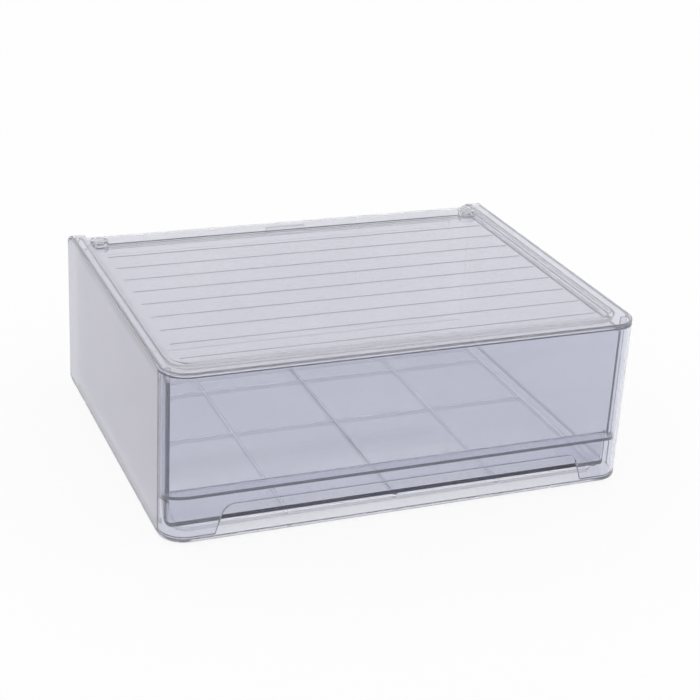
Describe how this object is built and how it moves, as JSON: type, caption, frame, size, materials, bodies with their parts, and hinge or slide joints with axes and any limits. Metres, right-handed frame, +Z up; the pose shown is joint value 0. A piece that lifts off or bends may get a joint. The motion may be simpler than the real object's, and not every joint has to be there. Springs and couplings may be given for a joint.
{
  "type": "stackable drawer box",
  "caption": "Clear plastic drawer box with a sunken, grooved stacking top and a full-height drawer front with a finger opening along its lower edge.",
  "frame": {"origin": "bottom centre of the whole box, on the surface that its foot ring stands on", "axes": "+X to the right seen from the front, +Y from the drawer front to the rear, +Z up"},
  "size_m": [0.32, 0.26, 0.117],
  "materials": {
    "clear_case": "moulded clear styrene with a faint blue-grey tint, glossy",
    "clear_top": "moulded clear styrene with a faint blue-grey tint, glossy, fine haze on the grooved field",
    "clear_peg": "turned clear styrene peg, glossy",
    "clear_tub": "moulded clear styrene with a faint blue-grey tint, glossy",
    "clear_front": "moulded clear styrene with a blue-grey tint, polished"
  },
  "bodies": {
    "case": {"base_panel": "clear_case", "left_side_panel": "clear_case", "right_side_panel": "clear_case", "rear_panel": "clear_case", "top_panel": "clear_top", "left_stacking_peg": "clear_peg", "right_stacking_peg": "clear_peg"},
    "drawer": {"drawer_tub": "clear_tub", "drawer_front": "clear_front"}
  },
  "joints": [
    {"name": "drawer_slide", "type": "slide", "parent": "case", "child": "drawer", "axis": [0, -1, 0], "range_m": [0, 0.221]}
  ]
}
